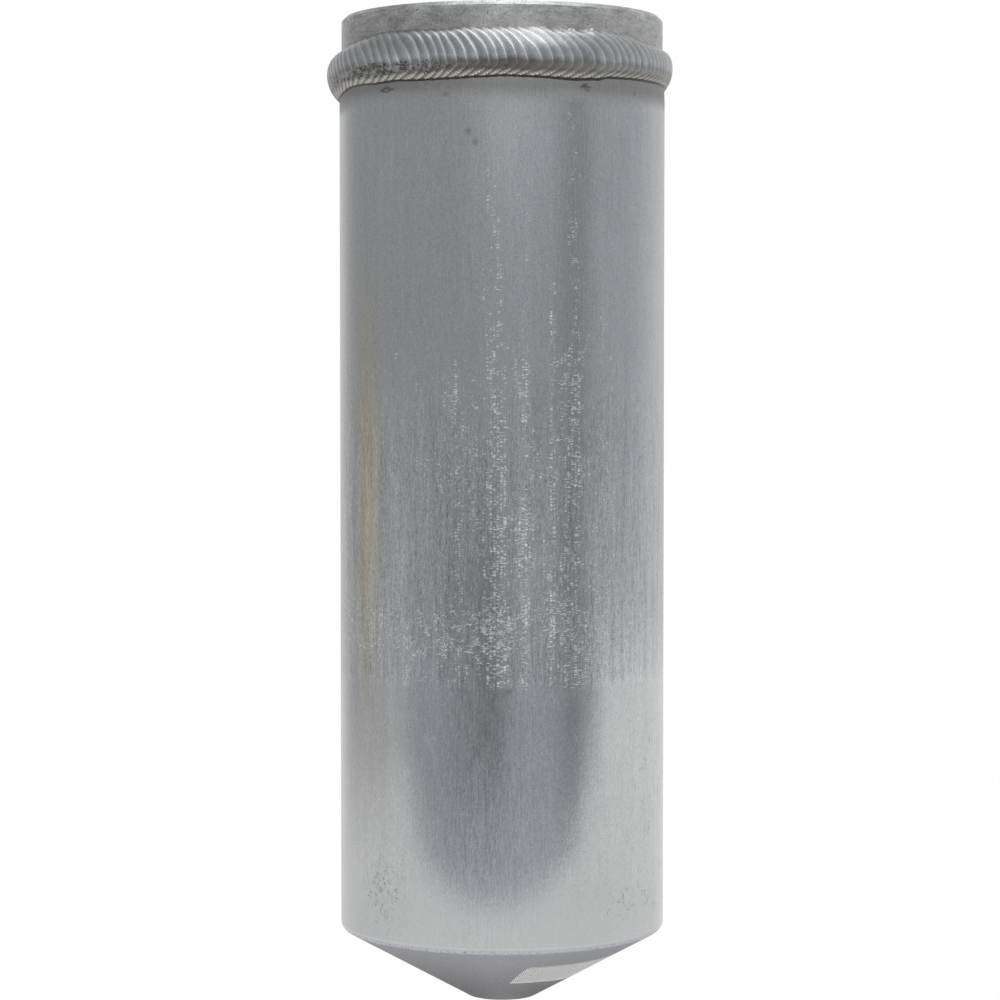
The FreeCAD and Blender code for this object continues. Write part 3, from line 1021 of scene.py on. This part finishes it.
@dataclass
class CanShell:
    """Drawn can with its wall, cone and rounded corners, all sizes in millimetres."""

    finish: Finish = field(default_factory=CanMetal)
    radius: float = 30.0
    wall: float = 2.3
    joint_z: float = -9.6
    groove_depth: float = 1.5
    land_taper: float = 0.15
    land_end_z: float = -15.8
    corner_z: float = -167.8
    cone_angle: float = 29.2
    knuckle: float = 1.6
    tip_radius: float = 6.2
    tip_rounding: float = 1.2
    cone_rings: tuple[float, ...] = (15.0, 24.0)
    wall_rings: tuple[float, ...] = (-150.0, -120.0, -80.0, -40.0)
    steps: int = 288

    def build(self) -> bpy.types.Object:
        """Spin the outline from the tip's centre, up the outside, and down the inside."""
        made = spun(self._outline(), self.steps)
        return finished("can_drawn", made, self.finish.material(), ("can",))

    def _outline(self) -> list[Span]:
        """Half section of the can, from axis to axis."""
        slope = math.tan(math.radians(self.cone_angle))
        tip_z = self.corner_z - (self.radius - self.tip_radius) * slope
        inset = self.wall / math.cos(math.radians(self.cone_angle))
        bore = self.radius - self.wall
        floor_z = tip_z + self.wall
        floor_radius = self.radius - (self.corner_z + inset - floor_z) / slope
        inner_corner_z = self.corner_z - (self.radius - bore) * slope + inset
        mouth = self.radius - self.land_taper
        bevel_z = self.joint_z - (mouth - self.radius + self.groove_depth)
        outline = [(0.0, tip_z), (self.tip_radius * 0.5, tip_z)]
        outline += self._round((self.tip_radius, tip_z), (0.0, tip_z), (self.radius, self.corner_z),
                               self.tip_rounding, 6)
        outline += [(ring, self.corner_z - (self.radius - ring) * slope) for ring in self.cone_rings]
        outline += self._round((self.radius, self.corner_z), (self.tip_radius, tip_z),
                               (self.radius, 0.0), self.knuckle, 10)
        outline += [(self.radius, z) for z in self.wall_rings]
        outline += [(self.radius, self.land_end_z), (mouth, bevel_z)]
        outline += [(self.radius - self.groove_depth, self.joint_z), (bore, self.joint_z)]
        outline += [(bore, inner_corner_z), (floor_radius, floor_z), (0.0, floor_z)]
        return outline

    def _round(self, corner: Span, before: Span, after: Span,
               rounding: float, count: int) -> list[Span]:
        """Arc that rounds a corner between its neighbours.

        Args:
            corner: the sharp corner.
            before: a point on the line that comes in.
            after: a point on the line that goes out.
            rounding: the arc's radius.
            count: number of steps along the arc.

        Returns:
            The arc's points.
        """
        here = Vector(corner)
        back = (Vector(before) - here).normalized()
        ahead = (Vector(after) - here).normalized()
        half = back.angle(ahead) / 2
        centre = here + (back + ahead).normalized() * (rounding / math.sin(half))
        start = here + back * (rounding / math.tan(half)) - centre
        end = here + ahead * (rounding / math.tan(half)) - centre
        sweep = start.angle_signed(end)
        turns = [Matrix.Rotation(-sweep * i / count, 2) for i in range(count + 1)]
        return [tuple(centre + turn @ start) for turn in turns]


@dataclass
class Sticker:
    """Blank sticker with rounded corners on the cone, all sizes in millimetres."""

    finish: Finish = field(default_factory=LabelFilm)
    corner_z: float = -167.8
    can_radius: float = 30.0
    cone_angle: float = 29.2
    inner: float = 14.3
    outer: float = 23.466
    thickness: float = 0.14
    start: float = 4.5
    slant: float = 8.2
    sweep: float = 118.0
    corner: float = 1.2
    columns: int = 150
    rows: int = 14

    def build(self) -> bpy.types.Object:
        """Lay a rounded sheet on the cone and give it its thickness."""
        made = bmesh.new()
        bmesh.ops.create_grid(made, x_segments=self.columns, y_segments=self.rows, size=0.5)
        for vertex in made.verts:
            vertex.co = self._laid(vertex.co.x + 0.5, vertex.co.y + 0.5)
        bmesh.ops.recalc_face_normals(made, faces=made.faces)
        if made.faces[:][0].normal.z > 0:
            bmesh.ops.reverse_faces(made, faces=made.faces)
        bmesh.ops.solidify(made, geom=made.faces, thickness=self.thickness)
        return finished("label_blank", made, self.finish.material(), ("label",))

    def _laid(self, along: float, up: float) -> Triple:
        """Place on the cone of a point of the flat sheet.

        Args:
            along: share of the length, 0 to 1.
            up: share of the width, 0 to 1.

        Returns:
            The place in millimetres.
        """
        width = (self.outer - self.inner) / math.cos(math.radians(self.cone_angle))
        radius = self.inner + (self.outer - self.inner) * up
        length = math.radians(self.sweep) * radius
        edge = min(up, 1 - up) * width
        cut = 0.0
        if edge < self.corner:
            cut = self.corner - math.sqrt(self.corner ** 2 - (self.corner - edge) ** 2)
        share = cut / length + along * (1 - 2 * cut / length)
        angle = math.radians(self.start + self.slant * up + self.sweep * share)
        z = self.corner_z - (self.can_radius - radius) * math.tan(math.radians(self.cone_angle))
        return radius * math.sin(angle), -radius * math.cos(angle), z


@dataclass
class Inside:
    """Finishes of the pieces that keep their own meshes."""

    finishes: dict[str, Finish] = field(default_factory=lambda: {
        "head": HeadMetal(),
        "pickup_tube": PlainMetal("tube_metal", (0.62, 0.63, 0.64), 0.28, (3.0, 3.0, 0.2)),
        "pack_spring": PlainMetal("spring_steel", (0.36, 0.36, 0.37), 0.32, (1.0, 1.0, 1.0),
                                  (0.22, 0.17, 0.13)),
        "upper_plate": PlainMetal("plate_steel", (0.55, 0.54, 0.50), 0.36, (1.2, 1.2, 1.2),
                                  (0.42, 0.40, 0.33)),
        "strainer_frame": MouldedPlastic(),
        "upper_screen": Gauze(),
        "upper_felt": Felt(),
        "desiccant_bed": DryingBeads(),
    })
    shared: dict[str, str] = field(default_factory=lambda: {
        "lower_support": "upper_plate", "upper_bush": "strainer_frame", "lower_bush": "strainer_frame",
        "strainer_gauze": "upper_screen", "lower_screen": "upper_screen", "lower_felt": "upper_felt"})

    def dress(self) -> None:
        """Give each kept node its finish."""
        made = {node: finish.material() for node, finish in self.finishes.items()}
        made.update({node: made[like] for node, like in self.shared.items()})
        for node, material in made.items():
            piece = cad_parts[node]
            piece.data.materials.clear()
            piece.data.materials.append(material)
            LOG.info("%s: %s", node, material.name)


@dataclass(frozen=True)
class Lamp:
    """Soft box; sizes and place in metres, power in watts."""

    name: str
    place: Triple
    width: float
    height: float
    power: float


@dataclass
class Studio:
    """Camera, lamps, floor and surroundings; places in metres."""

    lens: float = 106.95
    camera_place: Triple = (0.0, -0.55155, -0.0655)
    pitch: float = 2.413
    pan: float = 0.04
    floor_z: float = -0.43
    floor_radius: float = 1.0
    floor_tone: float = 0.8
    floor_glow: float = 0.18
    lamp_aim: Triple = (0.0, 0.0, -0.06)
    lamps: tuple[Lamp, ...] = (Lamp("key", (0.27, -0.46, 0.56), 0.30, 0.45, 0.46),
                               Lamp("top", (0.05, 0.12, 0.80), 0.70, 0.70, 1.3))
    ambient: float = 0.78
    room: float = 0.385
    backdrop: float = 0.70
    pale: float = 0.815
    overhead: float = 0.24
    room_hue: Rgb = (0.965, 1.0, 1.035)
    backdrop_hue: Rgb = (1.005, 1.0, 0.99)
    shape_hue: Rgb = (0.955, 1.0, 1.05)
    frame_hue: Rgb = (1.12, 1.025, 0.79)

    def build(self) -> None:
        """Make the whole studio."""
        self._camera()
        self._surroundings()
        self._floor()
        for lamp in self.lamps:
            self._light(lamp)

    def _camera(self) -> None:
        """Camera at the photographed viewing angle."""
        data = bpy.data.cameras.new("camera")
        data.lens = self.lens
        data.sensor_width = 36.0
        data.clip_start = 0.01
        camera = bpy.data.objects.new("camera", data)
        camera.location = self.camera_place
        camera.rotation_euler = (math.radians(90 - self.pitch), 0, math.radians(self.pan))
        bpy.context.scene.collection.objects.link(camera)
        bpy.context.scene.camera = camera

    def _light(self, lamp: Lamp) -> None:
        """Add a lamp, aimed at the drier's top half."""
        data = bpy.data.lights.new(lamp.name, "AREA")
        data.shape = "RECTANGLE"
        data.size, data.size_y = lamp.width, lamp.height
        data.energy = lamp.power
        made = bpy.data.objects.new(lamp.name, data)
        made.location = lamp.place
        aim = Vector(self.lamp_aim) - Vector(lamp.place)
        made.rotation_euler = aim.to_track_quat("-Z", "Y").to_euler()
        bpy.context.scene.collection.objects.link(made)

    def _floor(self) -> None:
        """Plain pale floor below the drier."""
        made = bmesh.new()
        bmesh.ops.create_circle(made, cap_ends=True, segments=96, radius=self.floor_radius)
        bmesh.ops.translate(made, verts=made.verts, vec=(0, 0, self.floor_z))
        data = bpy.data.meshes.new("floor")
        made.to_mesh(data)
        made.free()
        floor = bpy.data.objects.new("floor", data)
        bpy.context.scene.collection.objects.link(floor)
        material = bpy.data.materials.new("floor")
        tree = Tree(material)
        path = tree.node("ShaderNodeLightPath").outputs
        seen = tree.clamp(Signal(tree, path["Is Camera Ray"]) + Signal(tree, path["Is Glossy Ray"])
                          + Signal(tree, path["Is Transmission Ray"]))
        light = tree.tinted((self.floor_glow,) * 3, seen)
        glow = tree.node("ShaderNodeEmission", None, {"Color": light, "Strength": 1.0})
        matt = tree.node("ShaderNodeBsdfDiffuse", None, {"Color": (self.floor_tone,) * 3})
        both = tree.node("ShaderNodeAddShader", None, {0: matt.outputs[0], 1: glow.outputs[0]})
        tree.node("ShaderNodeOutputMaterial", None, {"Surface": both.outputs[0]})
        data.materials.append(material)

    def _surroundings(self) -> None:
        """White backdrop, with a dimmer room and a pale table for what the metal mirrors."""
        world = bpy.data.worlds.new("studio")
        bpy.context.scene.world = world
        tree = Tree(world)
        x, y, z = tree.split(tree.node("ShaderNodeTexCoord").outputs["Generated"])
        turn = tree.math("ARCTAN2", x, -y) * (180 / math.pi)
        rise = tree.math("ARCSINE", z) * (180 / math.pi)
        path = tree.node("ShaderNodeLightPath")
        seen = Signal(tree, path.outputs["Is Camera Ray"])
        mirrored = tree.clamp(Signal(tree, path.outputs["Is Glossy Ray"])
                              + Signal(tree, path.outputs["Is Transmission Ray"]))
        left = tree.step(turn, -10.0, -50.0)
        right = tree.step(turn, -20.0, 20.0)
        low = tree.step(rise, 0.0, -3.0) * tree.step(rise, -6.6, -5.8)
        room = self.room + tree.hump(turn, 20.0, 30.0) * (0.05 + tree.step(rise, 1.0, 5.0) * 0.07)
        room = room + tree.step(rise, 1.5, 5.0) * tree.step(turn, 20.0, -10.0) * 0.03
        room = room - tree.hump(turn, 51.0, 8.0) * 0.13
        room = room + tree.step(turn, 55.0, 76.0) * 0.10 + tree.step(turn, 92.0, 138.0) * 0.18
        room = room + (tree.hump(turn, -88.0, 36.0) * 0.11 + tree.step(turn, 58.0, 70.0) * 0.03) * low
        chair = tree.band(turn, -36.0, 3.2, 1.0) * tree.step(rise, -1.5, -4.0) * tree.step(rise, -9.4, -6.4)
        dip = 0.06 + tree.hump(turn, -6.0, 8.0) * 0.09 + tree.step(rise, -6.0, -6.3) * 0.05
        behind = tree.step(abs(turn + 3.0), 122.0, 158.0)
        backdrop = self.backdrop + tree.step(rise, -5.5, -6.5) * (0.06 + right * 0.13)
        room = room + behind * (backdrop - room)
        table = tree.step(rise, -5.9, -6.15)
        table = table + (1.0 - table) * tree.step(turn, 60.0, 88.0) * tree.step(rise, -4.5, -5.8)
        left_edge = left * tree.step(turn, -105.0, -90.0) * tree.step(rise, -3.8, -6.0)
        table = table + (1.0 - table) * left_edge * 0.35
        pale = self.pale + tree.step(turn, 60.0, 110.0) * 0.045
        pale = pale - tree.step(turn, -50.0, -100.0) * 0.045
        near_edge = tree.step(rise, -9.6, -6.3) * (1.0 - behind)
        pale = pale + (tree.hump(turn, -80.0, 10.0) * 0.06 - left * 0.30) * near_edge
        depth = tree.math("MAXIMUM", -6.8 - rise, 0.0) * (1 / 5.15)
        spread = abs((turn + 3.0) * (1 / 71.0)) ** (2.0 + tree.step(turn, 0.0, -40.0) * 0.5)
        spread = spread - tree.step(rise, -7.6, -6.2) * tree.step(turn, 0.0, 40.0) * 0.2
        shape = tree.step(depth + spread, 1.12, 0.88)
        level = room + table * ((pale - room) * (1.0 - shape) + shape * depth * 0.14)
        level = level - chair * dip * (1.0 - table * (1.0 - shape))
        overhead = self.overhead + tree.step(x, 0.25, 0.6) * 0.24 + tree.hump(x, 0.05, 0.38) * 0.85
        level = level + tree.clamp(rise * (1 / 68.0)) * (overhead - level)
        hue = tree.mix(behind, self.room_hue, self.backdrop_hue)
        hue = tree.mix(tree.clamp(table + tree.step(rise, 12.0, 40.0)), hue, (1.0, 1.0, 1.0))
        hue = tree.mix(shape * table, hue, self.shape_hue)
        frame_side = tree.band(turn, -124.0, -100.0, 4.0) * tree.hump(rise, -2.2, 3.2)
        hue = tree.mix(tree.clamp(frame_side), hue, self.frame_hue)
        shown = tree.tinted(hue, level)
        ambient = tree.mix(mirrored, (self.ambient,) * 3, shown)
        colour = tree.mix(seen, ambient, (1.0, 1.0, 1.0))
        back = tree.node("ShaderNodeBackground", None, {"Color": colour, "Strength": 1.0})
        tree.node("ShaderNodeOutputWorld", None, {"Surface": back.outputs[0]})


def main() -> None:
    """Build every part of the scene in order."""
    logging.basicConfig(level=logging.INFO, format="%(name)s %(message)s")
    bpy.context.scene.view_settings.view_transform = "Standard"
    Studio().build()
    CanShell().build()
    WeldBead().build()
    Sticker().build()
    Inside().dress()


if __name__ == "__main__":
    main()
